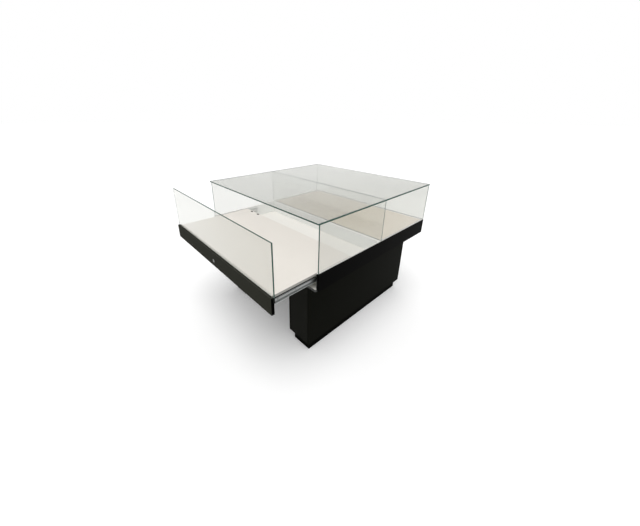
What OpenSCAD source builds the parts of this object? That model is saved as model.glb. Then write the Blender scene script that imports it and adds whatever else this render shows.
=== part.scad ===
// Double-sided jewellery display table: an all-glass case on two box legs.
// Each end has a glazed deck that pulls out on a pair of ball-bearing slides.
// X runs left to right, Y front to back, Z up. The front deck is pulled out.

/* [Case] */
// Width of the glass case, left to right
case_w = 1220; // [900:10:1500]
// Depth of the glass case, front to back
case_d = 1220; // [1180:10:1500]
// Height of the rim, where glass meets panels, above the ground
rim_h = 680; // [600:5:750]
// Height of the glass case above the rim
glass_h = 293; // [200:1:400]
// Thickness of every glass pane
glass_t = 8; // [6:1:9]
// Depth of the groove that holds a side pane in the rim
pane_groove = 10; // [6:1:16]
// Clearance of a pane in its groove, each side
groove_gap = 0.2; // [0.1:0.05:0.5]
// Gap between a side pane's end and a closed drawer pane
pane_gap = 1.5; // [1:0.25:3]
// Gap between the divider pane's ends and the side panes
divider_gap = 0.5; // [0.3:0.1:1]

/* [Rim and floor] */
// Thickness of the fascia and leg panels
panel_t = 18; // [15:1:20]
// How far the side fascias stand proud of the glass
side_proud = 4; // [2:0.5:6]
// Height of the side fascias
side_fascia_h = 106; // [103:1:112]
// Drop from the rim to the cavity floor
floor_drop = 99; // [98:1:102]
// Thickness of the base board
base_t = 16; // [15:1:19]
// Thickness of the white lining inside the side fascias
liner_t = 3; // [2:0.5:4]
// Thickness of the beam under the divider pane
beam_t = 24; // [20:1:36]
// Depth of the groove for the divider pane in the beam
beam_groove = 12; // [8:1:20]

/* [Legs] */
// Width of each leg
leg_w = 195; // [120:5:260]
// Inset of a leg from the side of the glass case
leg_side_inset = 111; // [60:1:160]
// Inset of a leg from the front and the back of the glass case
leg_end_inset = 50; // [30:1:120]
// Height of the plinth under a leg
plinth_h = 73; // [50:1:110]
// How far the plinth is set back from the leg's faces
plinth_recess = 25; // [10:1:40]
// Thickness of the plinth boards
plinth_t = 16; // [12:1:20]

/* [Drawers] */
// How far the front drawer stands open
pull_out = 285; // [0:1:300]
// Height of the drawer fascia
drawer_fascia_h = 97; // [90:1:98]
// How far the drawer fascia stands proud of the glass
front_proud = 12; // [10:0.5:14]
// How much narrower the drawer fascia is than the glass, each side
fascia_end_inset = 6; // [2:1:12]
// How far the drawer pane's ends sit inside the case's sides
drawer_pane_inset = 2; // [0:0.5:4]
// Gap between the top of the drawer pane and the top pane
drawer_pane_gap = 2; // [1:0.5:4]
// Depth of the drawer pane's seat in the fascia
pane_seat = 30; // [20:1:40]
// Thickness of the metal in the clamp that holds the drawer pane
clamp_t = 2.5; // [2:0.25:3]
// Thickness of the deck board
deck_t = 16; // [12:1:18]
// Drop from the rim to the top of the deck
deck_drop = 2; // [1:0.5:3]
// Gap between the deck and the side lining
deck_side_gap = 7; // [5:1:9]
// Gap between the closed deck and the beam
deck_back_gap = 10; // [6:1:20]
// Thickness of the boards under the deck
box_t = 12; // [9:1:15]
// Height of the boards under the deck
box_h = 44; // [42:1:50]
// Distance from the back edge of the deck to the board across its back
back_rail_in = 28; // [24:1:60]

/* [Slides] */
// Length of each slide
slide_l = 400; // [400:10:500]
// Height of each slide
slide_h = 35; // [33:0.5:37]
// Width of each slide, from the lining to the drawer board
slide_w = 12.7; // [12.7:0.1:13.2]
// Sheet thickness of the slide members
sheet_t = 1.2; // [1:0.05:1.2]
// Diameter of the slide balls
ball_d = 3.5; // [3:0.1:3.6]
// Running clearance round a ball
ball_gap = 0.3; // [0.25:0.05:0.35]
// Half of the opening between the lips of two raceways
race_lip = 0.55; // [0.5:0.05:0.6]
// Clearance between a slide and the underside of the deck
slide_top_gap = 4; // [3:0.5:5]
// Distance of a closed slide behind the front of the case
slide_start = 12; // [11:0.5:16]
// Thickness of a ball cage
cage_t = 0.5; // [0.4:0.1:0.5]
// Length of a ball cage
cage_l = 96; // [72:4:100]
// Balls in each row of a cage
row_balls = 6; // [3:1:8]

/* [Locks] */
// Drop from the rim to the lock's centre
lock_drop = 57; // [54:1:60]
// Diameter of the lock's barrel
lock_d = 19; // [16:0.5:20]
// Diameter of the lock's front flange
bezel_d = 23; // [21:0.5:26]
// Thickness of the lock's front flange
bezel_t = 2; // [1:0.5:3]
// Diameter of the turning plug
plug_d = 13; // [10:0.5:14]
// Running clearance round the plug
plug_gap = 0.05; // [0.02:0.01:0.1]
// Thickness of the lock's nut
nut_t = 4; // [3:0.5:4]
// Width of the lock's nut across its corners
nut_d = 28; // [26:0.5:30]
// Reach of the cam from the plug's axis
cam_l = 50; // [48:0.5:52]
// Width of the cam
cam_w = 14; // [12:0.5:16]
// Thickness of the cam
cam_t = 2; // [1.5:0.25:2.5]
// Clearance round the cam in the keeper and the base board
keeper_gap = 1.5; // [1:0.25:2.5]
// Thickness of the keeper plate
keeper_t = 1.2; // [1:0.1:1.5]
// Length of the keeper plate beyond each end of its slot
keeper_end = 12; // [10:1:20]
// Diameter of the keeper's screws
keeper_screw_d = 3; // [2.5:0.5:4]

/* [Screws] */
// Diameter of the screws in the drawers and the slides
screw_d = 4; // [3:0.5:4]
// Depth to which a screw holds in a board
screw_hold = 11; // [8:1:11]
// Width of a screw's head, as a multiple of its diameter
head_ratio = 2; // [1.8:0.1:2.2]
// Places of the screws along a slide, as parts of its length
slide_screws = [0.08, 0.36, 0.64, 0.92];
// Places of the fascia's screws, as parts of half the drawer's width
fascia_screws = [0.25, 0.8];

/* [Cable grommets] */
// Distances of the two grommets from the left end of the front deck
grommet_in = [96, 190];
// Length of a grommet's flange
grommet_l = 30; // [24:1:40]
// Width of a grommet's flange
grommet_w = 16; // [12:1:20]
// Distance from a grommet's centre to the deck's back edge
grommet_edge = 12; // [11:1:20]

/* [Hidden] */
$fn = 48;
// How far a cut runs past the face that it opens
past = 1;
// Clearance between the drawer pane and the metal or boards behind it
pane_back_gap = 0.3;
// Clearance of a ball cage from the web of the slide's case member
cage_gap = 0.25;
// Clearance round the lock's barrel, and the length that stands out of the nut
bore_gap = 0.1;
barrel_end = 0.5;
// Clearance between the barrel and the cam, and round the plug's square tail
cam_gap = 0.3;
tail_gap = 0.1;
plug_tail = 7;
// Width, depth and height of the keyway, and the screw that holds the cam
keyway = [1.2, 6, 8];
cam_screw_d = 8;
cam_screw_t = 3;
// Room for the nut and the cam in the drawer's front board
notch_gap = 8;
notch_top = 2;
// Width of the keeper plate in front of the cam and behind it
keeper_front = 4;
keeper_back = 9;
// Height and top width of a pan head, and the length, width and depth of a head's cross slot,
// as multiples of the screw's diameter
head_h_ratio = 0.55;
head_top_ratio = 1.3;
slot_ratio = [1.1, 0.25, 0.3];
// Clearance round a screw in the slide's metal
shank_gap = 0.2;
// Wall and flange of a grommet, and its clearance in the deck
grommet_wall = 2;
grommet_flange = 1.5;
grommet_gap = 0.2;
// Colours
black = "#1d1d1c";
white = "#e9e5dd";
glass = [0.74, 0.84, 0.81, 0.4];
steel = "#b4b7b9";
bright = "#d6d8da";

// Half sizes of the case, and the planes that the pieces share
half_w = case_w / 2;
half_d = case_d / 2;
fascia_out = half_w + side_proud;
fascia_in = fascia_out - panel_t;
lining_in = fascia_in - liner_t;
top_under = rim_h + glass_h - glass_t;
floor_z = rim_h - floor_drop;
base_z = floor_z - base_t;
side_start = glass_t + pane_gap;

// Legs
leg_out = half_w - leg_side_inset;
leg_in = leg_out - leg_w;
leg_half_d = half_d - leg_end_inset;

// Drawer, measured back from the front edge of the top pane
fascia_back = panel_t - front_proud;
pane_back = glass_t + pane_back_gap;
deck_front = pane_back + clamp_t;
deck_back = half_d - beam_t / 2 - deck_back_gap;
deck_half_w = lining_in - deck_side_gap;
deck_top = rim_h - deck_drop;
deck_under = deck_top - deck_t;
box_out = lining_in - slide_w;
box_in = box_out - box_t;
box_z = deck_under - box_h;
foot_z = rim_h - pane_seat - pane_back_gap - clamp_t;
rail_back = deck_front + box_t;
back_rail = deck_back - back_rail_in;

// Slide section, measured from the lining towards the drawer
race_r = ball_d / 2 + ball_gap;
race_out = race_r + sheet_t;
slide_z = deck_under - slide_top_gap - slide_h / 2;
ball_x = slide_w / 2;
ball_z = slide_h / 2 - race_out;
cage_web = sheet_t + cage_gap;
cage_start = (slide_l - cage_l) / 2;

// Lock, measured back from the front edge of the top pane
lock_z = rim_h - lock_drop;
lock_front = -front_proud - bezel_t;
lock_back = fascia_back + nut_t + barrel_end;
cam_y = lock_back + cam_gap;

// Reach of the keeper's slot each way from the lock, as the cam swings down into it
keeper_top = floor_z + keeper_t;
slot_left = cam_w / 2 + keeper_gap;
slot_right = sqrt(cam_l * cam_l - (lock_z - keeper_top) * (lock_z - keeper_top)) + keeper_gap;

// Moves a piece so that the open table is centred on the origin
module placed() translate([0, pull_out / 2, 0]) children();

// Draws a piece that is measured back from one end of the case
module front_end(travel = 0) placed() translate([0, -half_d - travel, 0]) children();
module rear_end(travel = 0) placed() rotate([0, 0, 180]) translate([0, -half_d - travel, 0]) children();

module both_sides() {
    children();
    mirror([1, 0, 0]) children();
}

module both_ends() {
    children();
    mirror([0, 1, 0]) children();
}

// A board or pane between two planes along each axis
module board(x, y, z)
    translate([x[0], y[0], z[0]]) cube([x[1] - x[0], y[1] - y[0], z[1] - z[0]]);

// Extrudes an X-Z profile along Y, from y to y + length
module along_depth(y, length)
    translate([0, y + length, 0]) rotate([90, 0, 0]) linear_extrude(length) children();

// The cross slot in the top of a screw's head
module cross_slot(d) for (a = [0, 90]) rotate(a)
    cube([d * slot_ratio[0], d * slot_ratio[1], 2 * d * slot_ratio[2]], center = true);

// A pan-head screw with its point down and the underside of its head at the origin
module screw(d, length) {
    head_h = d * head_h_ratio;
    translate([0, 0, -length]) cylinder(d = d, h = length);
    difference() {
        cylinder(d1 = d * head_ratio, d2 = d * head_top_ratio, h = head_h);
        translate([0, 0, head_h]) cross_slot(d);
    }
}

// The outline of a flat-head screw with its point down and the top of its head at the origin
module flat_screw(d, length) {
    head_h = d * (head_ratio - 1) / 2;
    translate([0, 0, -length]) cylinder(d = d, h = length);
    translate([0, 0, -head_h]) cylinder(d1 = d, d2 = d * head_ratio, h = head_h);
}

// Base, rim and beam

module keeper_slot(depth)
    board([-slot_left, slot_right], [cam_y - keeper_gap, cam_y + cam_t + keeper_gap],
        [floor_z - depth, keeper_top + past]);

module cam_pocket() keeper_slot(cam_l - (lock_z - floor_z) + keeper_gap);

// Places children on top of the keeper plate, at its two screws
module at_keeper_screws() for (x = [-slot_left - keeper_end / 2, slot_right + keeper_end / 2])
    translate([x, cam_y + cam_t / 2, keeper_top]) children();

module keeper_screw_holes() at_keeper_screws()
    translate([0, 0, -keeper_t - screw_hold]) cylinder(d = keeper_screw_d, h = keeper_t + screw_hold + past);

module base_board() color(black) {
    difference() {
        placed() board([-fascia_in, fascia_in], [-half_d, half_d], [base_z, floor_z]);
        front_end() cam_pocket();
        rear_end() cam_pocket();
        front_end() keeper_screw_holes();
        rear_end() keeper_screw_holes();
    }
}

module side_fascia() difference() {
    board([fascia_in, fascia_out], [side_start - half_d, half_d - side_start],
        [rim_h - side_fascia_h, rim_h]);
    board([half_w - glass_t - groove_gap, half_w + groove_gap],
        [side_start - half_d - past, half_d - side_start + past], [rim_h - pane_groove, rim_h + past]);
    case_screws();
}

module side_lining() difference() {
    board([lining_in, fascia_in], [side_start - half_d, half_d - side_start], [floor_z, deck_top]);
    case_screws();
}

module side_pane()
    board([half_w - glass_t, half_w], [side_start - half_d, half_d - side_start],
        [rim_h - pane_groove, top_under]);

module left_fascia() color(black) placed() mirror([1, 0, 0]) side_fascia();
module right_fascia() color(black) placed() side_fascia();
module left_lining() color(white) placed() mirror([1, 0, 0]) side_lining();
module right_lining() color(white) placed() side_lining();
module left_glass() color(glass) placed() mirror([1, 0, 0]) side_pane();
module right_glass() color(glass) placed() side_pane();

module top_glass() color(glass) placed()
    board([-half_w, half_w], [-half_d, half_d], [top_under, top_under + glass_t]);

module centre_beam() color(white) placed() difference() {
    board([-lining_in, lining_in], [-beam_t / 2, beam_t / 2], [floor_z, deck_top]);
    board([-lining_in - past, lining_in + past], [-glass_t / 2 - groove_gap, glass_t / 2 + groove_gap],
        [deck_top - beam_groove, deck_top + past]);
}

// The pane's wide upper part clears the rim and its tongue fills the groove
module divider_glass() color(glass) placed() {
    pane_half_w = half_w - glass_t - divider_gap;
    along_depth(-glass_t / 2, glass_t) polygon([
        [-lining_in, deck_top - beam_groove], [lining_in, deck_top - beam_groove],
        [lining_in, rim_h], [pane_half_w, rim_h], [pane_half_w, top_under],
        [-pane_half_w, top_under], [-pane_half_w, rim_h], [-lining_in, rim_h]
    ]);
}

module lock_keeper() {
    difference() {
        board([-slot_left - keeper_end, slot_right + keeper_end],
            [cam_y - keeper_front, cam_y + keeper_back], [floor_z, keeper_top]);
        keeper_slot(past);
        keeper_screw_holes();
    }
    at_keeper_screws() screw(keeper_screw_d, keeper_t + screw_hold);
}

module lock_keepers() color(steel) {
    front_end() lock_keeper();
    rear_end() lock_keeper();
}

// Legs, drawn on the right

module leg_side(x) board([x, x + panel_t], [-leg_half_d, leg_half_d], [plinth_h, base_z]);

module leg_end() board([leg_in + panel_t, leg_out - panel_t],
    [leg_half_d - panel_t, leg_half_d], [plinth_h, base_z]);

module leg_shelves() {
    for (z = [plinth_h, base_z - panel_t])
        board([leg_in + panel_t, leg_out - panel_t],
            [-leg_half_d + panel_t, leg_half_d - panel_t], [z, z + panel_t]);
}

module leg_plinth() {
    out = leg_out - plinth_recess;
    in = leg_in + plinth_recess;
    end = leg_half_d - plinth_recess;
    for (x = [in, out - plinth_t])
        board([x, x + plinth_t], [-end, end], [0, plinth_h]);
    both_ends() board([in + plinth_t, out - plinth_t], [end - plinth_t, end], [0, plinth_h]);
}

module left_leg_outer_panel() color(black) placed() mirror([1, 0, 0]) leg_side(leg_out - panel_t);
module left_leg_inner_panel() color(black) placed() mirror([1, 0, 0]) leg_side(leg_in);
module left_leg_front_panel() color(black) placed() mirror([1, 0, 0]) mirror([0, 1, 0]) leg_end();
module left_leg_back_panel() color(black) placed() mirror([1, 0, 0]) leg_end();
module left_leg_shelves() color(black) placed() mirror([1, 0, 0]) leg_shelves();
module left_plinth() color(black) placed() mirror([1, 0, 0]) leg_plinth();
module right_leg_outer_panel() color(black) placed() leg_side(leg_out - panel_t);
module right_leg_inner_panel() color(black) placed() leg_side(leg_in);
module right_leg_front_panel() color(black) placed() mirror([0, 1, 0]) leg_end();
module right_leg_back_panel() color(black) placed() leg_end();
module right_leg_shelves() color(black) placed() leg_shelves();
module right_plinth() color(black) placed() leg_plinth();

// Slides, drawn on the right

// A section measured from the lining, moved to its place at the case's side
module slide_section() translate([lining_in, slide_z]) mirror([1, 0]) {
    children();
    mirror([0, 1]) children();
}

// Half a raceway round the upper balls: up = 1 is the part over them, up = -1 under them
module raceway(up) translate([ball_x, ball_z]) intersection() {
    difference() {
        circle(race_out);
        circle(race_r);
    }
    translate([-race_out, up > 0 ? race_lip : -race_out])
        square([2 * race_out, race_out - race_lip]);
}

module outer_section() slide_section() {
    square([sheet_t, slide_h / 2]);
    translate([0, slide_h / 2 - sheet_t]) square([ball_x, sheet_t]);
    raceway(1);
}

module inner_section() slide_section() {
    flange_z = ball_z - race_out;
    translate([slide_w - sheet_t, 0]) square([sheet_t, flange_z + sheet_t]);
    translate([ball_x, flange_z]) square([slide_w - ball_x, sheet_t]);
    raceway(-1);
}

module cage_section() slide_section() {
    translate([cage_web, 0]) square([cage_t, ball_z + cage_t / 2]);
    translate([cage_web, ball_z - cage_t / 2]) square([ball_x + ball_d / 2 - cage_web, cage_t]);
}

// Places children on the right, x from the middle, at each screw of a slide member
module at_slide_screws(x) for (part = slide_screws)
    translate([x, slide_start + part * slide_l, slide_z]) rotate([0, 90, 0]) children();

// Screws from the slide's case member through the lining into the fascia, drawn on the right
module at_case_screws() at_slide_screws(lining_in - sheet_t) rotate([180, 0, 0]) children();

module case_screw() flat_screw(screw_d, sheet_t + liner_t + screw_hold);

// The case screws of both ends, as cut through the boards on the right
module case_screws() both_ends() translate([0, -half_d, 0]) at_case_screws() case_screw();

// The case screws of one end, on both sides
module slide_screw_set() both_sides() at_case_screws() difference() {
    case_screw();
    cross_slot(screw_d);
}

module outer_rail() difference() {
    along_depth(slide_start, slide_l) outer_section();
    at_case_screws() case_screw();
}

module front_slide_screws() color(bright) front_end() slide_screw_set();
module rear_slide_screws() color(bright) rear_end() slide_screw_set();

// Screws from the slide's drawer member into the drawer board
module at_drawer_screws() at_slide_screws(box_out + sheet_t) children();

module inner_rail() difference() {
    along_depth(slide_start, slide_l) inner_section();
    at_drawer_screws() cylinder(d = screw_d + 2 * shank_gap, h = 4 * sheet_t, center = true);
}

// Places children at each ball of a cage's two rows
module at_balls() {
    pitch = cage_l / row_balls;
    for (up = [-1, 1], i = [0 : row_balls - 1])
        translate([lining_in - ball_x, slide_start + cage_start + (i + 0.5) * pitch,
            slide_z + up * ball_z]) children();
}

module ball_cage() {
    color(steel) difference() {
        along_depth(slide_start + cage_start, cage_l) cage_section();
        at_balls() cylinder(d = ball_d + ball_gap, h = 4 * cage_t, center = true);
    }
    color(bright) at_balls() sphere(d = ball_d);
}

module front_left_outer_rail() color(steel) front_end() mirror([1, 0, 0]) outer_rail();
module front_right_outer_rail() color(steel) front_end() outer_rail();
module rear_left_outer_rail() color(steel) rear_end() outer_rail();
module rear_right_outer_rail() color(steel) rear_end() mirror([1, 0, 0]) outer_rail();

module front_outer_ball_cages() front_end(pull_out / 2) both_sides() ball_cage();
module rear_outer_ball_cages() rear_end() both_sides() ball_cage();

module front_left_inner_rail() color(steel) front_end(pull_out) mirror([1, 0, 0]) inner_rail();
module front_right_inner_rail() color(steel) front_end(pull_out) inner_rail();
module rear_left_inner_rail() color(steel) rear_end() inner_rail();
module rear_right_inner_rail() color(steel) rear_end() mirror([1, 0, 0]) inner_rail();

// Drawers

module grommet_outline(length, width) {
    square([length - width, width], center = true);
    for (side = [-1, 1])
        translate([side * (length - width) / 2, 0]) circle(d = width);
}

module at_grommets() for (x = grommet_in)
    translate([x - deck_half_w, deck_back - grommet_edge, 0]) children();

// Outlines of the flange, the sleeve and the cable's way, by how far each lies inside the flange
module grommet_step(inside) grommet_outline(grommet_l - 2 * inside, grommet_w - 2 * inside);

module drawer_deck()
    board([-deck_half_w, deck_half_w], [deck_front, deck_back], [deck_under, deck_top]);

// The flange lies flush in a recess in the deck
module cable_grommets() at_grommets() difference() {
    union() {
        translate([0, 0, deck_top - grommet_flange]) linear_extrude(grommet_flange) grommet_step(0);
        translate([0, 0, deck_under]) linear_extrude(deck_t - grommet_flange)
            grommet_step(grommet_wall + grommet_gap);
    }
    translate([0, 0, deck_under - past]) linear_extrude(deck_t + 2 * past) grommet_step(2 * grommet_wall);
}

// A board with a rebate along its back for the pane and a bore for the lock
module drawer_fascia() {
    half_l = half_w - fascia_end_inset;
    difference() {
        board([-half_l, half_l], [-front_proud, fascia_back], [rim_h - drawer_fascia_h, rim_h]);
        board([-half_l - past, half_l + past], [0, fascia_back + past], [rim_h - pane_seat, rim_h + past]);
        lock_axis(-front_proud - past) cylinder(d = lock_d + 2 * bore_gap, h = panel_t + 2 * past);
        fascia_screw_holes();
    }
}

module drawer_pane() {
    half_l = half_w - drawer_pane_inset;
    board([-half_l, half_l], [0, glass_t], [rim_h - pane_seat, top_under - drawer_pane_gap]);
}

// A stepped metal strip: its foot bears on the fascia, its upright on the pane
module glass_clamp() rotate([90, 0, 90]) translate([0, 0, -deck_half_w])
    linear_extrude(2 * deck_half_w) polygon([
        [fascia_back, foot_z], [deck_front, foot_z], [deck_front, deck_top],
        [pane_back, deck_top], [pane_back, foot_z + clamp_t], [fascia_back, foot_z + clamp_t]
    ]);

module drawer_sides() difference() {
    both_sides() board([box_in, box_out], [deck_front, deck_back], [box_z, deck_under]);
    both_sides() at_drawer_screws()
        translate([0, 0, -sheet_t - screw_hold]) cylinder(d = screw_d, h = sheet_t + screw_hold + past);
}

// The front board bears on the fascia under the clamp, the others stiffen the deck
module drawer_rails() {
    difference() {
        board([-box_in, box_in], [fascia_back, rail_back], [box_z, deck_under]);
        board([-box_in - past, box_in + past], [fascia_back - past, deck_front], [foot_z, deck_under + past]);
        board([-nut_d / 2 - notch_gap, cam_l + notch_gap], [fascia_back - past, rail_back + past],
            [box_z - past, lock_z + nut_d / 2 + notch_top]);
        fascia_screw_holes();
    }
    board([-box_in, box_in], [back_rail - box_t, back_rail], [box_z, deck_under]);
    board([-box_t / 2, box_t / 2], [rail_back, back_rail - box_t], [box_z, deck_under]);
}

// Screws from the drawer's front board into the fascia
module at_fascia_screws() both_sides() for (part = fascia_screws)
    translate([part * box_in, rail_back, (box_z + foot_z) / 2]) rotate([-90, 0, 0]) children();

module fascia_screw_holes() at_fascia_screws() {
    depth = rail_back - fascia_back + screw_hold;
    translate([0, 0, -depth]) cylinder(d = screw_d, h = depth + past);
}

module drawer_screws() {
    at_fascia_screws() screw(screw_d, rail_back - fascia_back + screw_hold);
    both_sides() at_drawer_screws() screw(screw_d, sheet_t + screw_hold);
}

// Locks

// Turns a shape that is drawn up the Z axis to run back along the lock's axis
module lock_axis(y) translate([0, y, lock_z]) rotate([-90, 0, 0]) children();

module lock_body() {
    difference() {
        union() {
            lock_axis(lock_front) cylinder(d = bezel_d, h = bezel_t);
            lock_axis(-front_proud) cylinder(d = lock_d, h = front_proud + lock_back);
        }
        lock_axis(lock_front - past)
            cylinder(d = plug_d + 2 * plug_gap, h = lock_back - lock_front + 2 * past);
    }
    lock_axis(fascia_back) difference() {
        cylinder(d = nut_d, h = nut_t, $fn = 6);
        translate([0, 0, -past]) cylinder(d = lock_d + 2 * bore_gap, h = nut_t + 2 * past);
    }
}

module lock_plug() {
    difference() {
        lock_axis(lock_front) cylinder(d = plug_d, h = lock_back - lock_front);
        board([-keyway[0] / 2, keyway[0] / 2], [lock_front - past, lock_front + keyway[1]],
            [lock_z - keyway[2] / 2, lock_z + keyway[2] / 2]);
    }
    board([-plug_tail / 2, plug_tail / 2], [lock_back, cam_y + cam_t],
        [lock_z - plug_tail / 2, lock_z + plug_tail / 2]);
}

module lock_cam() {
    tail = plug_tail + 2 * tail_gap;
    difference() {
        union() {
            lock_axis(cam_y) cylinder(d = cam_w, h = cam_t);
            board([0, cam_l - cam_w / 2], [cam_y, cam_y + cam_t],
                [lock_z - cam_w / 2, lock_z + cam_w / 2]);
            translate([cam_l - cam_w / 2, 0, 0]) lock_axis(cam_y) cylinder(d = cam_w, h = cam_t);
        }
        board([-tail / 2, tail / 2], [cam_y - past, cam_y + cam_t + past],
            [lock_z - tail / 2, lock_z + tail / 2]);
    }
    lock_axis(cam_y + cam_t) cylinder(d = cam_screw_d, h = cam_screw_t);
}

module front_deck() color(white) front_end(pull_out) difference() {
    drawer_deck();
    at_grommets() {
        translate([0, 0, deck_under - past]) linear_extrude(deck_t + 2 * past) grommet_step(grommet_wall);
        translate([0, 0, deck_top - grommet_flange]) linear_extrude(grommet_flange + past)
            grommet_step(-grommet_gap);
    }
}

module front_cable_grommets() color(black) front_end(pull_out) cable_grommets();
module front_fascia() color(black) front_end(pull_out) drawer_fascia();
module front_glass() color(glass) front_end(pull_out) drawer_pane();
module front_glass_clamp() color(steel) front_end(pull_out) glass_clamp();
module front_drawer_sides() color(black) front_end(pull_out) drawer_sides();
module front_drawer_rails() color(black) front_end(pull_out) drawer_rails();
module front_drawer_screws() color(bright) front_end(pull_out) drawer_screws();
module front_lock_body() color(bright) front_end(pull_out) lock_body();
module front_lock_plug() color(steel) front_end(pull_out) lock_plug();
module front_lock_cam() color(steel) front_end(pull_out) lock_cam();

module rear_deck() color(white) rear_end() drawer_deck();
module rear_fascia() color(black) rear_end() drawer_fascia();
module rear_glass() color(glass) rear_end() drawer_pane();
module rear_glass_clamp() color(steel) rear_end() glass_clamp();
module rear_drawer_sides() color(black) rear_end() drawer_sides();
module rear_drawer_rails() color(black) rear_end() drawer_rails();
module rear_drawer_screws() color(bright) rear_end() drawer_screws();
module rear_lock_body() color(bright) rear_end() lock_body();
module rear_lock_plug() color(steel) rear_end() lock_plug();
module rear_lock_cam() color(steel) rear_end() lock_cam();

base_board();
left_fascia();
right_fascia();
left_lining();
right_lining();
centre_beam();
divider_glass();
top_glass();
left_glass();
right_glass();
left_leg_outer_panel();
left_leg_inner_panel();
left_leg_front_panel();
left_leg_back_panel();
left_leg_shelves();
left_plinth();
right_leg_outer_panel();
right_leg_inner_panel();
right_leg_front_panel();
right_leg_back_panel();
right_leg_shelves();
right_plinth();
lock_keepers();
front_slide_screws();
rear_slide_screws();
front_left_outer_rail();
front_right_outer_rail();
rear_left_outer_rail();
rear_right_outer_rail();
front_outer_ball_cages();
rear_outer_ball_cages();
front_left_inner_rail();
front_right_inner_rail();
rear_left_inner_rail();
rear_right_inner_rail();
front_deck();
front_fascia();
front_glass();
front_glass_clamp();
front_drawer_sides();
front_drawer_rails();
front_drawer_screws();
front_cable_grommets();
front_lock_body();
front_lock_plug();
front_lock_cam();
rear_deck();
rear_fascia();
rear_glass();
rear_glass_clamp();
rear_drawer_sides();
rear_drawer_rails();
rear_drawer_screws();
rear_lock_body();
rear_lock_plug();
rear_lock_cam();
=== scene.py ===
# Jewelry display case: finishes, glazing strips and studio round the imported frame
import math

import bmesh
import bpy
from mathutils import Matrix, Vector


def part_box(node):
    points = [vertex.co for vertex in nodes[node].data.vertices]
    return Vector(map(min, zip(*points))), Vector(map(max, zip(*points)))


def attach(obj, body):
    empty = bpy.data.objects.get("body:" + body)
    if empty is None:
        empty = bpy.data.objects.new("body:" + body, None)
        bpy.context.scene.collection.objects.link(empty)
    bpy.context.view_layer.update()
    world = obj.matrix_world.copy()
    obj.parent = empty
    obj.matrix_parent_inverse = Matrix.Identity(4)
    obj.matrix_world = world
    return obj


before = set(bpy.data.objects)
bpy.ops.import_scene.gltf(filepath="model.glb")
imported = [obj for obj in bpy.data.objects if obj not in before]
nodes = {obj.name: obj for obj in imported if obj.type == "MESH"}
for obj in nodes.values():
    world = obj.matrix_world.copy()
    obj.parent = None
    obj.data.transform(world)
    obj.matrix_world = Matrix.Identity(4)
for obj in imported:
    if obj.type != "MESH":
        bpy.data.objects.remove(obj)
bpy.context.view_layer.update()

scene = bpy.context.scene
scene.view_settings.view_transform = "Standard"
print("stage: frame loaded,", len(nodes), "nodes")


# Small helpers for shader trees
def addNode(tree, kind, x, y, **settings):
    made = tree.nodes.new(kind)
    made.location = (x, y)
    for setting, value in settings.items():
        setattr(made, setting, value)
    return made


def feed(tree, value, socket):
    if isinstance(value, bpy.types.NodeSocket):
        tree.links.new(value, socket)
    else:
        socket.default_value = value


def calculate(tree, operation, x, y, first, second=None, clamp=False):
    made = addNode(tree, "ShaderNodeMath", x, y, operation=operation, use_clamp=clamp)
    feed(tree, first, made.inputs[0])
    if second is not None:
        feed(tree, second, made.inputs[1])
    return made.outputs[0]


def rescale(tree, x, y, value, fromLow, fromHigh, toLow, toHigh):
    made = addNode(tree, "ShaderNodeMapRange", x, y)
    feed(tree, value, made.inputs["Value"])
    for socketName, number in (("From Min", fromLow), ("From Max", fromHigh),
                               ("To Min", toLow), ("To Max", toHigh)):
        feed(tree, number, made.inputs[socketName])
    return made.outputs[0]


def noise(tree, x, y, point, scale, detail=3.0, roughness=0.55):
    made = addNode(tree, "ShaderNodeTexNoise", x, y)
    feed(tree, point, made.inputs["Vector"])
    feed(tree, scale, made.inputs["Scale"])
    feed(tree, detail, made.inputs["Detail"])
    feed(tree, roughness, made.inputs["Roughness"])
    return made.outputs["Fac"]


def blend(tree, x, y, amount, first, second):
    made = addNode(tree, "ShaderNodeMix", x, y, data_type="RGBA")
    for index, value in ((0, amount), (6, first), (7, second)):
        feed(tree, value, made.inputs[index])
    return made.outputs[2]


def stretch(tree, x, y, vector, amount):
    made = addNode(tree, "ShaderNodeVectorMath", x, y, operation="MULTIPLY")
    feed(tree, vector, made.inputs[0])
    feed(tree, amount, made.inputs[1])
    return made.outputs[0]


def objectPoint(tree, x, y):  # the shaded point in the piece's own coordinates
    return addNode(tree, "ShaderNodeTexCoord", x, y).outputs["Object"]


def faceDirection(tree, x, y):  # the three parts of the surface's normal, in the same coordinates
    place = addNode(tree, "ShaderNodeTexCoord", x, y)
    split = addNode(tree, "ShaderNodeSeparateXYZ", x + 200, y)
    feed(tree, place.outputs["Normal"], split.inputs[0])
    return split.outputs


def seenDirectly(tree, x, y):  # one where a camera, glossy or transmission ray looks
    path = addNode(tree, "ShaderNodeLightPath", x, y)
    mirrored = calculate(tree, "MAXIMUM", x + 200, y, path.outputs["Is Camera Ray"],
                         path.outputs["Is Glossy Ray"])
    return calculate(tree, "MAXIMUM", x + 400, y, mirrored, path.outputs["Is Transmission Ray"])


# Studio: pale floor, soft sky and one wide lamp overhead
studio = {
    "floorSize": 120.0,
    "floorColour": (0.91, 0.91, 0.91, 1),
    "floorGlow": 0.165,        # lifts the open floor to white, for direct looks only
    "skyLight": 0.68,          # what lights the case
    "skyBackground": 1.0,      # what the camera, metal and glass see
    "lampStrength": 1.38,
    "lampSpread": 48.0,        # wide, so shadows stay soft
    "lampTilt": (20.0, 0.0, 35.0),
}


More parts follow.
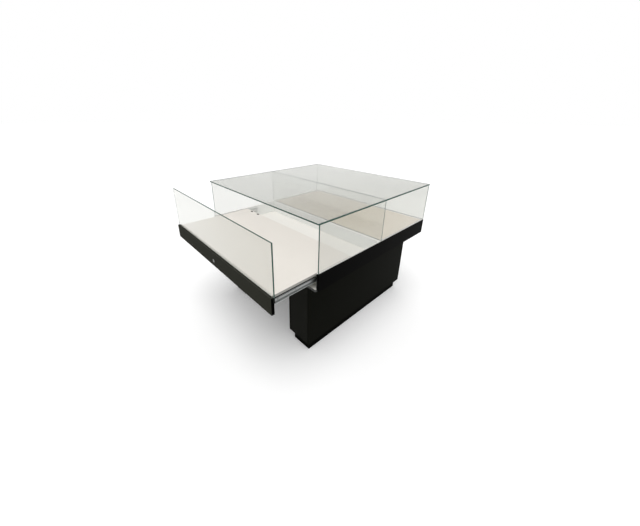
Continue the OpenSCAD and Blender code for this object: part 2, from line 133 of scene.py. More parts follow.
def makeFloor():
    material = bpy.data.materials.new("studioFloor")
    material.use_nodes = True
    tree = material.node_tree
    tree.nodes.clear()
    output = addNode(tree, "ShaderNodeOutputMaterial", 900, 0)
    matt = addNode(tree, "ShaderNodeBsdfDiffuse", 300, 100)
    feed(tree, studio["floorColour"], matt.inputs["Color"])
    glow = addNode(tree, "ShaderNodeEmission", 300, -100)
    looked = seenDirectly(tree, -700, -150)
    lift = calculate(tree, "MULTIPLY", 100, -150, looked, studio["floorGlow"])
    feed(tree, lift, glow.inputs["Strength"])
    both = addNode(tree, "ShaderNodeAddShader", 600, 0)
    feed(tree, matt.outputs[0], both.inputs[0])
    feed(tree, glow.outputs[0], both.inputs[1])
    feed(tree, both.outputs[0], output.inputs["Surface"])
    half = studio["floorSize"] / 2
    mesh = bpy.data.meshes.new("floor")
    corners = [(-half, -half, 0), (half, -half, 0), (half, half, 0), (-half, half, 0)]
    mesh.from_pydata(corners, [], [(0, 1, 2, 3)])
    mesh.materials.append(material)
    floor = bpy.data.objects.new("floor", mesh)
    scene.collection.objects.link(floor)


def makeSky():
    world = bpy.data.worlds.new("studioSky")
    scene.world = world
    world.use_nodes = True
    tree = world.node_tree
    tree.nodes.clear()
    output = addNode(tree, "ShaderNodeOutputWorld", 600, 0)
    sky = addNode(tree, "ShaderNodeBackground", 400, 0)
    feed(tree, (1, 1, 1, 1), sky.inputs["Color"])
    strength = rescale(tree, 200, -100, seenDirectly(tree, -500, -100), 0.0, 1.0,
                       studio["skyLight"], studio["skyBackground"])
    feed(tree, strength, sky.inputs["Strength"])
    feed(tree, sky.outputs[0], output.inputs["Surface"])


def makeLamp():
    lamp = bpy.data.lights.new("overheadLamp", "SUN")
    lamp.energy = studio["lampStrength"]
    lamp.angle = math.radians(studio["lampSpread"])
    holder = bpy.data.objects.new("overheadLamp", lamp)
    holder.rotation_euler = [math.radians(a) for a in studio["lampTilt"]]
    holder.visible_glossy = False          # no mirror image of the lamp in the finishes
    holder.visible_transmission = False    # and no disc of it seen by way of the panes
    scene.collection.objects.link(holder)


makeFloor()
makeSky()
makeLamp()
print("stage: studio ready")


# Camera at the photograph's viewing angle
viewpoint = {
    "location": (1.4446, -1.3317, 1.4650),
    "turn": (67.961, -0.209, 47.540),
    "lens": 15.008,
    "sensor": 36.0,
    "shift": (0.02504, -0.06272),
    "nearest": 0.05,
}


def makeCamera():
    eye = bpy.data.cameras.new("viewpoint")
    eye.lens = viewpoint["lens"]
    eye.sensor_width = viewpoint["sensor"]
    eye.shift_x, eye.shift_y = viewpoint["shift"]
    eye.clip_start = viewpoint["nearest"]
    holder = bpy.data.objects.new("viewpoint", eye)
    holder.location = viewpoint["location"]
    holder.rotation_euler = [math.radians(a) for a in viewpoint["turn"]]
    scene.collection.objects.link(holder)
    scene.camera = holder


makeCamera()
print("stage: camera set")


# Effects that several finishes share, as node groups
def newGroup(name, takes, gives):
    group = bpy.data.node_groups.new(name, "ShaderNodeTree")
    for socketName, kind, value in takes:
        socket = group.interface.new_socket(socketName, in_out="INPUT",
                                            socket_type="NodeSocket" + kind)
        socket.default_value = value
    for socketName, kind in gives:
        group.interface.new_socket(socketName, in_out="OUTPUT", socket_type="NodeSocket" + kind)
    start = addNode(group, "NodeGroupInput", -1400, 0)
    end = addNode(group, "NodeGroupOutput", 1100, 0)
    return group, start.outputs, end.inputs


def placeGroup(tree, group, values, x, y):
    made = addNode(tree, "ShaderNodeGroup", x, y, node_tree=group)
    for socketName, value in values.items():
        feed(tree, value, made.inputs[socketName])
    return made.outputs


def spreadRoughness(group, x, y, pattern, takes):  # the roughness, higher and lower with a noise
    offset = calculate(group, "SUBTRACT", x - 200, y, pattern, 0.5)
    uneven = calculate(group, "MULTIPLY", x, y, offset, takes["Roughness Spread"])
    return calculate(group, "ADD", x + 200, y, takes["Roughness"], uneven)


# Shape of the arris mask: real wear on the black laminates, a painted highlight on the white ones
arrisRubAndHighlight = {
    "steepness": 5.0,              # how quickly it fades into the flat face
    "patchScale": 38.0,
}


def makeArrisWearAndHighlight():  # one along the rounded edges of a board: wear where hands and trays rub on the black laminates, a painted highlight on the white ones
    group, takes, gives = newGroup("arrisWearAndHighlight", [("Wear", "Float", 0.5)], [("Mask", "Float")])
    parts = faceDirection(group, -1400, 0)
    sides = [calculate(group, "ABSOLUTE", -1000, -150 * i, parts[i]) for i in range(3)]
    widest = calculate(group, "MAXIMUM", -800, 0, sides[0], sides[1])
    widest = calculate(group, "MAXIMUM", -600, 0, widest, sides[2])
    slant = calculate(group, "SUBTRACT", -400, 0, 1.0, widest)
    arris = calculate(group, "MULTIPLY", -200, 0, slant, arrisRubAndHighlight["steepness"], True)
    patches = noise(group, -400, -300, objectPoint(group, -1400, -300), arrisRubAndHighlight["patchScale"])
    wornAndHighlit = calculate(group, "MULTIPLY", 100, -200, takes["Wear"], patches)
    feed(group, calculate(group, "MULTIPLY", 400, 0, arris, wornAndHighlit), gives["Mask"])
    return group


settledDust = {
    "upwardFrom": 0.6,             # the least upward part of a normal that holds dust
    "patchScale": 26.0,
    "patchDetail": 5.0,
    "patchRoughness": 0.7,
}


def makeLyingDust():  # patchy dust on upward faces
    group, takes, gives = newGroup("lyingDust", [("Dust", "Float", 0.2)], [("Mask", "Float")])
    parts = faceDirection(group, -1400, -300)
    upward = rescale(group, -900, -300, parts[2], settledDust["upwardFrom"], 1.0, 0.0, 1.0)
    patches = noise(group, -900, -600, objectPoint(group, -1400, -600), settledDust["patchScale"],
                    settledDust["patchDetail"], settledDust["patchRoughness"])
    lying = calculate(group, "MULTIPLY", 100, -200, takes["Dust"], patches)
    feed(group, calculate(group, "MULTIPLY", 400, 0, upward, lying), gives["Mask"])
    return group


arrisWearAndHighlight = makeArrisWearAndHighlight()
lyingDust = makeLyingDust()

pressedGrain = {
    "pebbleDetail": 2.0,
    "cloudDetail": 4.0,
    "pebbleRange": (0.3, 0.7),     # of the noise, stretched over the range of shades
    "shadeRange": (0.9, 1.1),
    "dustDulls": 0.4,              # how much rougher the face is under dust
}


def makeLaminateFace():  # pressed laminate: pebbled, clouded, a little dusty, with an arris mark that is wear on the blacks and a painted highlight on the whites
    group, takes, gives = newGroup(
        "laminateFace",
        [("Colour", "Color", (0.5, 0.5, 0.5, 1)), ("Cloud Colour", "Color", (0.5, 0.5, 0.5, 1)),
         ("Wear And Highlight Colour", "Color", (0.6, 0.6, 0.6, 1)), ("Dust Colour", "Color", (0.6, 0.6, 0.6, 1)),
         ("Pebble Scale", "Float", 1400.0), ("Cloud Scale", "Float", 5.0), ("Wear", "Float", 0.5),
         ("Dust", "Float", 0.2), ("Roughness", "Float", 0.4), ("Roughness Spread", "Float", 0.1)],
        [("Colour", "Color"), ("Roughness", "Float"), ("Height", "Float")])
    point = objectPoint(group, -1400, -300)
    pebbles = noise(group, -900, 200, point, takes["Pebble Scale"], pressedGrain["pebbleDetail"])
    clouds = noise(group, -900, 0, point, takes["Cloud Scale"], pressedGrain["cloudDetail"])
    rubbedAndHighlit = placeGroup(group, arrisWearAndHighlight, {"Wear": takes["Wear"]}, -900, -300)["Mask"]
    dusty = placeGroup(group, lyingDust, {"Dust": takes["Dust"]}, -900, -500)["Mask"]
    colour = blend(group, -200, 200, clouds, takes["Colour"], takes["Cloud Colour"])
    grain = rescale(group, -200, 400, pebbles, *pressedGrain["pebbleRange"],
                    *pressedGrain["shadeRange"])
    colour = stretch(group, 100, 300, colour, grain)
    # the arris colour: wear on the black laminates, a painted highlight on the white ones
    colour = blend(group, 300, 200, rubbedAndHighlit, colour, takes["Wear And Highlight Colour"])
    feed(group, blend(group, 600, 200, dusty, colour, takes["Dust Colour"]), gives["Colour"])
    rough = spreadRoughness(group, 100, -100, clouds, takes)
    dull = calculate(group, "MULTIPLY", 400, -250, dusty, pressedGrain["dustDulls"])
    feed(group, calculate(group, "ADD", 600, -100, rough, dull, True), gives["Roughness"])
    feed(group, pebbles, gives["Height"])
    return group


brushing = {
    "lineScale": 1.0,              # on top of each metal's own stretch
    "lineDetail": 4.0,
    "stainDetail": 4.0,
}


def makeBrushedMetal():  # fine lines along one direction, with slow stains
    group, takes, gives = newGroup(
        "brushedMetal",
        [("Colour", "Color", (0.6, 0.6, 0.6, 1)), ("Stain Colour", "Color", (0.5, 0.5, 0.5, 1)),
         ("Line Stretch", "Vector", (1.0, 1.0, 1.0)), ("Stain Scale", "Float", 14.0),
         ("Roughness", "Float", 0.3), ("Roughness Spread", "Float", 0.15)],
        [("Colour", "Color"), ("Roughness", "Float"), ("Height", "Float")])
    point = objectPoint(group, -1400, -300)
    drawn = stretch(group, -1000, 200, point, takes["Line Stretch"])
    lines = noise(group, -700, 200, drawn, brushing["lineScale"], brushing["lineDetail"])
    stains = noise(group, -700, -100, point, takes["Stain Scale"], brushing["stainDetail"])
    colour = blend(group, 200, 100, stains, takes["Colour"], takes["Stain Colour"])
    feed(group, colour, gives["Colour"])
    feed(group, spreadRoughness(group, 200, -100, lines, takes), gives["Roughness"])
    feed(group, lines, gives["Height"])
    return group


glassSurface = {
    "faceFrom": 0.95,              # a normal this near the thin axis belongs to a clear face
    "edgeBelow": 0.6,              # and one below this to an edge
    "smearScale": 5.0,
    "smearDetail": 5.0,
    "smearRoughness": 0.6,
    "smearRange": (0.55, 0.8),     # of the noise, from no smear to a full one
}


def makePaneFace():  # float glass: clear through its faces, green at its edges, faintly smeared
    group, takes, gives = newGroup(
        "paneFace",
        [("Face Colour", "Color", (0.9, 0.9, 0.9, 1)), ("Edge Colour", "Color", (0.1, 0.2, 0.1, 1)),
         ("Thin Axis", "Vector", (0.0, 0.0, 1.0)), ("Edge Roughness", "Float", 0.12),
         ("Smear Roughness", "Float", 0.02)],
        [("Colour", "Color"), ("Roughness", "Float"), ("Edge", "Float")])
    place = addNode(group, "ShaderNodeTexCoord", -1400, -300)
    facing = addNode(group, "ShaderNodeVectorMath", -900, 0, operation="DOT_PRODUCT")
    feed(group, place.outputs["Normal"], facing.inputs[0])
    feed(group, takes["Thin Axis"], facing.inputs[1])
    flat = calculate(group, "ABSOLUTE", -700, 0, facing.outputs["Value"])
    edge = rescale(group, -500, 0, flat, glassSurface["faceFrom"], glassSurface["edgeBelow"], 0.0, 1.0)
    smears = noise(group, -500, -300, place.outputs["Object"], glassSurface["smearScale"],
                   glassSurface["smearDetail"], glassSurface["smearRoughness"])
    shown = rescale(group, -200, -300, smears, *glassSurface["smearRange"], 0.0, 1.0)
    haze = calculate(group, "MULTIPLY", 100, -300, shown, takes["Smear Roughness"])
    colour = blend(group, 200, 100, edge, takes["Face Colour"], takes["Edge Colour"])
    feed(group, colour, gives["Colour"])
    ground = calculate(group, "MULTIPLY", 200, -200, edge, takes["Edge Roughness"])
    feed(group, calculate(group, "ADD", 400, -200, haze, ground), gives["Roughness"])
    feed(group, edge, gives["Edge"])
    return group


laminateFace = makeLaminateFace()
brushedMetal = makeBrushedMetal()
paneFace = makePaneFace()
print("stage: shared effects made")


# Makers of finishes
def newFinish(name, **fixed):
    material = bpy.data.materials.new(name)
    material.use_nodes = True
    tree = material.node_tree
    shader = tree.nodes["Principled BSDF"].inputs
    for socketName, value in fixed.items():
        shader[socketName.replace("_", " ")].default_value = value
    return material, tree, shader


def addBump(tree, shader, height, strength, distance):
    bump = addNode(tree, "ShaderNodeBump", -200, -300)
    feed(tree, strength, bump.inputs["Strength"])
    feed(tree, distance, bump.inputs["Distance"])
    feed(tree, height, bump.inputs["Height"])
    feed(tree, bump.outputs["Normal"], shader["Normal"])


def laminate(name, look):
    material, tree, shader = newFinish(name, Specular_IOR_Level=look["gloss"])
    face = placeGroup(tree, laminateFace, look["face"], -600, 0)
    feed(tree, face["Colour"], shader["Base Color"])
    feed(tree, face["Roughness"], shader["Roughness"])
    addBump(tree, shader, face["Height"], look["bump"], look["bumpDepth"])
    return material


boardSides = {
    "topFrom": 0.8,                # the least upward part of a normal that counts as the top
    "endFrom": 0.6,                # and the least part along the board that counts as its end
}


def boardFaces(name, sideLook, topLook, endLook=None, endAxis=1):  # up to three laminates on a board
    material, tree, shader = newFinish(name, Specular_IOR_Level=topLook["gloss"])
    side = placeGroup(tree, laminateFace, sideLook["face"], -1000, 200)
    top = placeGroup(tree, laminateFace, topLook["face"], -1000, -200)
    parts = faceDirection(tree, -1400, 0)
    upper = calculate(tree, "GREATER_THAN", -800, 0, parts[2], boardSides["topFrom"])
    colour = blend(tree, -400, 200, upper, side["Colour"], top["Colour"])
    if endLook:
        end = placeGroup(tree, laminateFace, endLook["face"], -1000, 600)
        facing = calculate(tree, "ABSOLUTE", -800, 400, parts[endAxis])
        atEnd = calculate(tree, "GREATER_THAN", -600, 400, facing, boardSides["endFrom"])
        colour = blend(tree, -200, 400, atEnd, colour, end["Colour"])
    feed(tree, colour, shader["Base Color"])
    rough = addNode(tree, "ShaderNodeMix", -400, 0)
    feed(tree, upper, rough.inputs[0])
    feed(tree, side["Roughness"], rough.inputs[2])
    feed(tree, top["Roughness"], rough.inputs[3])
    feed(tree, rough.outputs[0], shader["Roughness"])
    addBump(tree, shader, top["Height"], topLook["bump"], topLook["bumpDepth"])
    return material


def metal(name, look):
    material, tree, shader = newFinish(name, Metallic=1.0)
    face = placeGroup(tree, brushedMetal, look["face"], -600, 0)
    feed(tree, face["Colour"], shader["Base Color"])
    feed(tree, face["Roughness"], shader["Roughness"])
    addBump(tree, shader, face["Height"], look["bump"], look["bumpDepth"])
    return material


rounding = {
    "mergeWithin": 0.00001,        # joins the corners that the frame's meshes hold twice
    "segments": 2,
    "leastTurn": 40.0,             # degrees, so that flatter joints in a surface stay as they are
}


def dress(nodeName, material, edge=0.0):  # gives a node its finish and rounds its arrises
    node = nodes[nodeName]
    node.data.materials.clear()
    node.data.materials.append(material)
    if edge:
        weld = node.modifiers.new("weld", "WELD")
        weld.merge_threshold = rounding["mergeWithin"]
        bevel = node.modifiers.new("arris", "BEVEL")
        bevel.width = edge
        bevel.segments = rounding["segments"]
        bevel.limit_method = "ANGLE"
        bevel.angle_limit = math.radians(rounding["leastTurn"])


def blackLook(colour, cloudColour, gloss=0.006):  # satin black laminate, lighter where it is rubbed
    return {"gloss": gloss, "bump": 0.25, "bumpDepth": 0.0004, "face": {
        "Colour": colour, "Cloud Colour": cloudColour, "Wear And Highlight Colour": (0.040, 0.040, 0.036, 1),
        "Dust Colour": (0.09, 0.09, 0.085, 1), "Pebble Scale": 1500.0, "Cloud Scale": 5.0,
        "Wear": 0.5, "Dust": 0.22, "Roughness": 0.34, "Roughness Spread": 0.16}}


def whiteLook(colour, cloudColour, arrisHighlightColour):  # matt white laminate, lighter along its arrises: a painted highlight
    return {"gloss": 0.35, "bump": 0.2, "bumpDepth": 0.0003, "face": {
        # the arris colour and its strong amount here make a painted highlight
        "Colour": colour, "Cloud Colour": cloudColour, "Wear And Highlight Colour": arrisHighlightColour,
        "Dust Colour": (0.62, 0.60, 0.56, 1), "Pebble Scale": 900.0, "Cloud Scale": 3.0,
        "Wear": 1.4, "Dust": 0.10, "Roughness": 0.50, "Roughness Spread": 0.12}}


# Side fascias: the deepest copy of the black laminate, painted shade on these sideways boards
sideFascia = {
    "look": blackLook((0.0014, 0.0014, 0.0013, 1), (0.0022, 0.0021, 0.0020, 1)),
    "arris": 0.0008,
}
sideFasciaPaintedShade = laminate("sideFasciaPaintedShade", sideFascia["look"])
for name in ("left_fascia", "right_fascia"):
    dress(name, sideFasciaPaintedShade, sideFascia["arris"])

# Drawer fascias: a greyer copy of the black, painted light on these front- and back-facing boards,
# with the side fascias' painted-shade black on their ends
drawerFascia = {
    "look": blackLook((0.0245, 0.0252, 0.0195, 1), (0.0315, 0.0320, 0.0255, 1), 0.001),
    "arris": 0.0008,
}
drawerFasciaPaintedLight = boardFaces("drawerFasciaPaintedLight", drawerFascia["look"], drawerFascia["look"],
                               sideFascia["look"], 0)
for name in ("front_fascia", "rear_fascia"):
    dress(name, drawerFasciaPaintedLight, drawerFascia["arris"])

# Legs, and the boards inside the legs and under the decks; the legs' sides take a darker copy of the
# black, painted shade, and their ends a greyer one, painted light
legBoard = {
    "sides": blackLook((0.0038, 0.0040, 0.0027, 1), (0.0054, 0.0057, 0.0040, 1)),
    "ends": blackLook((0.0100, 0.0101, 0.0083, 1), (0.0124, 0.0125, 0.0105, 1)),
    "arris": 0.0008,
}
legBlack = laminate("legBlack", legBoard["sides"])
legEndPaintedLight = laminate("legEndPaintedLight", legBoard["ends"])
for name in sorted(nodes):
    if "_leg_front" in name or "_leg_back" in name:
        dress(name, legEndPaintedLight, legBoard["arris"])
    elif "_leg_" in name or "_drawer_sides" in name or "_drawer_rails" in name:
        dress(name, legBlack, legBoard["arris"])

# Plinths: a darker copy of the black, painted shade
plinth = {
    "look": blackLook((0.0016, 0.0017, 0.0012, 1), (0.0026, 0.0027, 0.0020, 1), 0.003),
    "arris": 0.0008,
}
plinthPaintedShade = laminate("plinthPaintedShade", plinth["look"])
for name in ("left_plinth", "right_plinth"):
    dress(name, plinthPaintedShade, plinth["arris"])

# Decks: warm white on top and mid grey on their side faces; the rear one in a darker tan copy of the
# white, painted shade
deck = {
    "front": whiteLook((0.83, 0.79, 0.73, 1), (0.78, 0.74, 0.68, 1), (0.93, 0.92, 0.89, 1)),
    "rear": whiteLook((0.76, 0.68, 0.56, 1), (0.71, 0.63, 0.51, 1), (0.90, 0.87, 0.80, 1)),
    "deckSides": whiteLook((0.34, 0.34, 0.31, 1), (0.29, 0.29, 0.27, 1), (0.92, 0.90, 0.86, 1)),
    "arris": 0.0010,
}
for end in ("front", "rear"):
    dress(end + "_deck", boardFaces(end + "DeckWhite", deck["deckSides"], deck[end]), deck["arris"])

# Side linings, centre beam and the base board's white upper face; the linings end in black banding
# The walls take a brighter, bluer copy of the white than the tops: painted light, with a painted blue
# of shade
cavity = {
    "walls": whiteLook((0.95, 0.96, 0.935, 1), (0.92, 0.93, 0.905, 1), (0.94, 0.94, 0.92, 1)),
    "tops": whiteLook((0.93, 0.91, 0.87, 1), (0.90, 0.88, 0.84, 1), (0.94, 0.93, 0.90, 1)),
    "floor": whiteLook((0.89, 0.87, 0.82, 1), (0.86, 0.84, 0.79, 1), (0.92, 0.91, 0.88, 1)),
    "liningArris": 0.0004,
    "arris": 0.0008,
}
liningWhite = boardFaces("liningWhite", cavity["walls"], cavity["tops"], sideFascia["look"])
for name in ("left_lining", "right_lining"):
    dress(name, liningWhite, cavity["liningArris"])
dress("centre_beam", boardFaces("beamWhite", cavity["walls"], cavity["tops"]), cavity["arris"])
dress("base_board", boardFaces("baseBoardFaces", legBoard["sides"], cavity["floor"]), cavity["arris"])
print("stage: boards dressed")

# Panes: clear faces, deep green edges; each kind of pane gets a grey tint of its own, painted shade
# for the darker surroundings it would show
pane = {
    "top": (0.64, 0.645, 0.615, 1),
    "side": (0.785, 0.79, 0.77, 1),
    "divider": (0.88, 0.89, 0.87, 1),
    "drawer": (0.775, 0.78, 0.75, 1),
    "face": {
        "Edge Colour": (0.0001, 0.004, 0.002, 1),
        "Edge Roughness": 0.5,
        "Smear Roughness": 0.006,
    },
    "paintedEdgeGlow": (0.0, 0.034, 0.022, 1),    # a painted glow on the edges, green light where there is no lamp
    "index": 1.50,
    "gloss": 0.15,
    "shadowPass": 0.95,            # share of the light that a pane lets through to what it covers
    "arris": 0.0005,
}


def makePaneGlass(kind, thinAxis):
    material, tree, shader = newFinish(kind + "PaneGlass", Transmission_Weight=1.0, IOR=pane["index"],
                                       Specular_IOR_Level=pane["gloss"], Emission_Strength=1.0)
    values = dict(pane["face"], **{"Face Colour": pane[kind], "Thin Axis": thinAxis})
    face = placeGroup(tree, paneFace, values, -600, 0)
    feed(tree, face["Colour"], shader["Base Color"])
    feed(tree, face["Roughness"], shader["Roughness"])
    # painted glow along the panes' edges
    glow = blend(tree, -300, 300, face["Edge"], (0, 0, 0, 1), pane["paintedEdgeGlow"])
    feed(tree, glow, shader["Emission Color"])
    path = addNode(tree, "ShaderNodeLightPath", -700, -400)
    lit = calculate(tree, "MAXIMUM", -500, -400, path.outputs["Is Shadow Ray"],
                    path.outputs["Is Diffuse Ray"])
    passed = calculate(tree, "MULTIPLY", -300, -400, lit, pane["shadowPass"])
    feed(tree, calculate(tree, "SUBTRACT", -100, -400, 1.0, passed), shader["Alpha"])
    return material


paneKinds = (
    ("top", (0, 0, 1), ("top_glass",)),
    ("side", (1, 0, 0), ("left_glass", "right_glass")),
    ("divider", (0, 1, 0), ("divider_glass",)),
    ("drawer", (0, 1, 0), ("front_glass", "rear_glass")),
)
for kind, thinAxis, names in paneKinds:
    glass = makePaneGlass(kind, thinAxis)
    for name in names:
        dress(name, glass, pane["arris"])
print("stage: panes dressed")


# Slides with their balls and screws, and the lock keepers: zinc-plated steel, the pieces on the
# drawers in a darker copy that is painted shade
def steelLook(colour, stainColour, roughness):  # its fine lines run along the slides
    return {"bump": 0.15, "bumpDepth": 0.0001, "face": {
        "Colour": colour, "Stain Colour": stainColour, "Line Stretch": (900, 12, 900),
        "Stain Scale": 14.0, "Roughness": roughness, "Roughness Spread": 0.2}}


slideSteel = {
    # darker copy of the same steel: painted shade on the drawers' pieces
    "paintedShade": steelLook((0.36, 0.37, 0.37, 1), (0.30, 0.31, 0.30, 1), 0.36),
    "paintedShadeNodes": ("_inner_rail", "ball_cages", "drawer_screws", "lock_keepers"),
    "bright": steelLook((0.82, 0.83, 0.82, 1), (0.74, 0.75, 0.74, 1), 0.42),
    "brightNodes": ("_outer_rail", "slide_screws"),
}
for kind in ("paintedShade", "bright"):
    steel = metal(kind + "Steel", slideSteel[kind])
    for name in sorted(nodes):
        if any(words in name for words in slideSteel[kind + "Nodes"]):
            dress(name, steel)

# Clamp strips that hold the drawer panes: aluminium, powder-coated in the decks' white
clamp = {
    "look": whiteLook((0.86, 0.84, 0.79, 1), (0.82, 0.80, 0.75, 1), (0.93, 0.92, 0.89, 1)),
    "arris": 0.0004,
}
clampWhite = laminate("clampPowderCoat", clamp["look"])
for name in ("front_glass_clamp", "rear_glass_clamp"):
    dress(name, clampWhite, clamp["arris"])

# Cam locks: chrome in a dark colour, painted shade standing in for the dark surroundings it would
# mirror
camLock = {
    "look": {"bump": 0.05, "bumpDepth": 0.0001, "face": {
        "Colour": (0.13, 0.13, 0.12, 1), "Stain Colour": (0.09, 0.09, 0.08, 1),
        "Line Stretch": (300, 300, 300), "Stain Scale": 90.0,
        "Roughness": 0.2, "Roughness Spread": 0.1}},
    "arris": 0.0003,
}
lockChrome = metal("lockChrome", camLock["look"])
for end in ("front", "rear"):
    for piece in ("_lock_body", "_lock_plug", "_lock_cam"):
        dress(end + piece, lockChrome, camLock["arris"])

# Cable grommets in the front deck
grommet = {
    "look": dict(blackLook((0.0046, 0.0048, 0.0036, 1), (0.0068, 0.0070, 0.0055, 1)), gloss=0.3),
    "arris": 0.0003,
}
dress("front_cable_grommets", laminate("grommetPlastic", grommet["look"]), grommet["arris"])
print("stage: metal and plastic dressed")

# Glazing: a white strip along the inside of each pane's foot, black sealant outside
glazing = {
    "stripWidth": 0.0088,          # from the pane over the rim's lip and the lining's edge
    "stripHeight": 0.0028,
    "stripDrop": 0.0019,           # how far it reaches down beside the rim
    "drawerStrip": 0.0060,
    "beamStrip": 0.0035,
    "outerSeal": 0.0016,
    "bond": 0.0012,                # the fine bond under the top pane
    "hollow": 0.45,                # how far a seal's face is drawn in, 0 for flat
    "waver": 0.10,                 # the share that a seal loses where it is narrowest
    "gap": 0.00005,                # keeps each piece just off the pane
    "mergeWithin": 0.000001,
    "steps": 60,                   # stretches of a run
    "arc": 5,                      # stretches of a seal's hollow face
    "stripProfile": ((1.0, 0.45), (0.97, 0.75), (0.91, 0.93), (0.84, 1.0),   # from its outer side
                     (0.12, 1.0), (0.04, 1.12), (0.0, 1.3)),   # to the pane, in widths and heights
    "longWave": 23.0,              # a seal's width follows two waves, in radians a metre
    "shortWave": 61.0,
    "shortShare": 0.6,             # the short wave's height beside the long one's
    "longShift": 9.0,              # radians a metre of a run's start, so that no two look alike
    "shortShift": 5.0,
    "grooveSkin": 0.0006,          # how far the sealant at a groove's end stands out of it
    "drawerGrooveSkin": 0.0005,
    "plugRounding": 0.3,           # as a share of that sealant's least side
    "plugSegments": 3,
    "plugProfile": 0.5,            # a round bevel
}
glazingLooks = {
    # The strip's white is lifted above the decks' and walls': painted light against the shade at the
    # pane's foot
    "white": dict(whiteLook((0.97, 0.96, 0.925, 1), (0.95, 0.94, 0.905, 1), (0.97, 0.97, 0.95, 1)),
                  gloss=0.45),
    "black": dict(blackLook((0.0022, 0.0022, 0.0020, 1), (0.0034, 0.0034, 0.0030, 1)), gloss=0.05),
    "clear": {"gloss": 0.5, "bump": 0.1, "bumpDepth": 0.0003, "face": {
        "Colour": (0.02, 0.11, 0.07, 1), "Cloud Colour": (0.03, 0.14, 0.09, 1),
        "Wear And Highlight Colour": (0.05, 0.16, 0.11, 1), "Dust Colour": (0.30, 0.32, 0.30, 1),
        "Pebble Scale": 600.0, "Cloud Scale": 30.0, "Wear": 0.3, "Dust": 0.1,
        "Roughness": 0.25, "Roughness Spread": 0.1}},
}
glazingFinishes = {kind: laminate(kind + "Glazing", look) for kind, look in glazingLooks.items()}


def sealOutline(size):  # a fillet's corner, then its hollow face, as distances out and up
    points = [(0.0, 0.0)]
    for i in range(glazing["arc"] + 1):
        part = i / glazing["arc"]
        sag = glazing["hollow"] * part * (1 - part)
        points.append((size * (1 - part - sag), size * (part - sag)))
    return points


def stripOutline(wide, lip=0.0):  # a low rounded strip; past a lip it steps down beside the rim
    points = [(0.0, 0.0), (wide, 0.0)]
    if lip:
        foot = -glazing["stripDrop"]
        points = [(0.0, 0.0), (lip, 0.0), (lip, foot), (wide, foot)]
    return points + [(a * wide, b * glazing["stripHeight"]) for a, b in glazing["stripProfile"]]


def finishPiece(mesh, name, body, kind):
    bmesh.ops.remove_doubles(mesh, verts=mesh.verts, dist=glazing["mergeWithin"])
    bmesh.ops.recalc_face_normals(mesh, faces=mesh.faces)
    made = bpy.data.meshes.new(name)
    mesh.to_mesh(made)
    mesh.free()
    made.materials.append(glazingFinishes[kind])
    piece = bpy.data.objects.new(name, made)
    scene.collection.objects.link(piece)
    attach(piece, body)


def wander(far, start):  # between -1 and 1 along a run
    long = math.sin(far * glazing["longWave"] + start[0] * glazing["longShift"])
    short = math.sin(far * glazing["shortWave"] + start[1] * glazing["shortShift"])
    return (long + glazing["shortShare"] * short) / (1 + glazing["shortShare"])


def layGlazing(name, body, kind, outline, start, end, outward, upward=1.0, waver=0.0):
    run = Vector(end) - Vector(start)
    out = Vector(outward)
    up = Vector((0, 0, upward))
    corner = Vector(start) + (out + up) * glazing["gap"]
    mesh = bmesh.new()
    rings = []
    for step in range(glazing["steps"] + 1):
        along = step / glazing["steps"]
        foot = corner + run * along
        swell = 1 - waver * (1 + wander(along * run.length, start)) / 2
        rings.append([mesh.verts.new(foot + (out * a + up * b) * swell) for a, b in outline])
    for before, after in zip(rings, rings[1:]):
        for i in range(len(before)):
            j = (i + 1) % len(before)
            mesh.faces.new((before[i], before[j], after[j], after[i]))
    mesh.faces.new(rings[0])
    mesh.faces.new(list(reversed(rings[-1])))
    finishPiece(mesh, name, body, kind)


def fillGroove(name, body, low, high):  # sealant that closes the end of a pane's groove
    mesh = bmesh.new()
    bmesh.ops.create_cube(mesh, size=1.0)
    middle = (Vector(low) + Vector(high)) / 2
    size = Vector(high) - Vector(low)
    for corner in mesh.verts:
        corner.co = middle + Vector([corner.co[i] * size[i] for i in range(3)])
    bmesh.ops.bevel(mesh, geom=mesh.edges[:], offset=min(size) * glazing["plugRounding"],
                    segments=glazing["plugSegments"], profile=glazing["plugProfile"], affect="EDGES")
    finishPiece(mesh, name, body, "black")


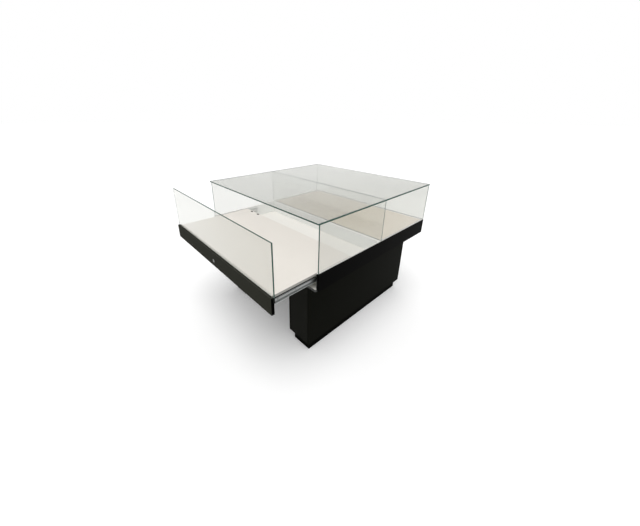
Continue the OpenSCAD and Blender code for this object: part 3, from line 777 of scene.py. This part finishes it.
def glazeSide(side, inward):
    low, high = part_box(side + "_glass")
    fasciaLow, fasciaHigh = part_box(side + "_fascia")
    foot = fasciaHigh[2]
    inner, outer = (high[0], low[0]) if inward > 0 else (low[0], high[0])
    rim = fasciaHigh[0] if inward > 0 else fasciaLow[0]
    strip = stripOutline(glazing["stripWidth"], abs(rim - inner))
    layGlazing(side + "_glazing_strip", "case", "white", strip,
               (inner, low[1], foot), (inner, high[1], foot), (inward, 0, 0))
    layGlazing(side + "_outer_seal", "case", "black", sealOutline(glazing["outerSeal"]),
               (outer, low[1], foot), (outer, high[1], foot), (-inward, 0, 0), waver=glazing["waver"])
    layGlazing(side + "_top_bond", "case", "clear", sealOutline(glazing["bond"]),
               (inner, low[1], high[2]), (inner, high[1], high[2]), (inward, 0, 0),
               upward=-1.0, waver=glazing["waver"])
    skin = glazing["grooveSkin"]
    for place, y in (("front", low[1]), ("rear", high[1])):
        fillGroove(side + "_groove_" + place, "case", (low[0] - skin, y - skin, low[2]),
                   (high[0] + skin, y + skin, foot + skin))


def glazeDrawer(end, inward):
    body = end + "_drawer"
    low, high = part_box(end + "_glass")
    clampLow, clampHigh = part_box(end + "_glass_clamp")
    fasciaLow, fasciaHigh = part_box(end + "_fascia")
    inner, outer = (high[1], low[1]) if inward > 0 else (low[1], high[1])
    layGlazing(end + "_glazing_strip", body, "white", stripOutline(glazing["drawerStrip"]),
               (clampLow[0], inner, clampHigh[2]), (clampHigh[0], inner, clampHigh[2]), (0, inward, 0))
    layGlazing(end + "_outer_seal", body, "black", sealOutline(glazing["outerSeal"]),
               (fasciaLow[0], outer, fasciaHigh[2]), (fasciaHigh[0], outer, fasciaHigh[2]),
               (0, -inward, 0), waver=glazing["waver"])
    skin = glazing["drawerGrooveSkin"]
    spans = (("left", low[0] - skin, fasciaLow[0]), ("right", fasciaHigh[0], high[0] + skin))
    for place, leftEnd, rightEnd in spans:
        fillGroove(end + "_groove_" + place, body, (leftEnd, low[1] - skin, low[2] - skin),
                   (rightEnd, high[1] + skin, fasciaHigh[2] + skin))


def glazeDivider():
    low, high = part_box("divider_glass")
    beamLow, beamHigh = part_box("centre_beam")
    for place, y, way in (("front", low[1], -1), ("rear", high[1], 1)):
        layGlazing("divider_strip_" + place, "case", "white", stripOutline(glazing["beamStrip"]),
                   (beamLow[0], y, beamHigh[2]), (beamHigh[0], y, beamHigh[2]), (0, way, 0))
        layGlazing("divider_bond_" + place, "case", "clear", sealOutline(glazing["bond"]),
                   (low[0], y, high[2]), (high[0], y, high[2]), (0, way, 0),
                   upward=-1.0, waver=glazing["waver"])


glazeSide("left", 1)
glazeSide("right", -1)
glazeDrawer("front", 1)
glazeDrawer("rear", -1)
glazeDivider()
print("stage: glazing laid")
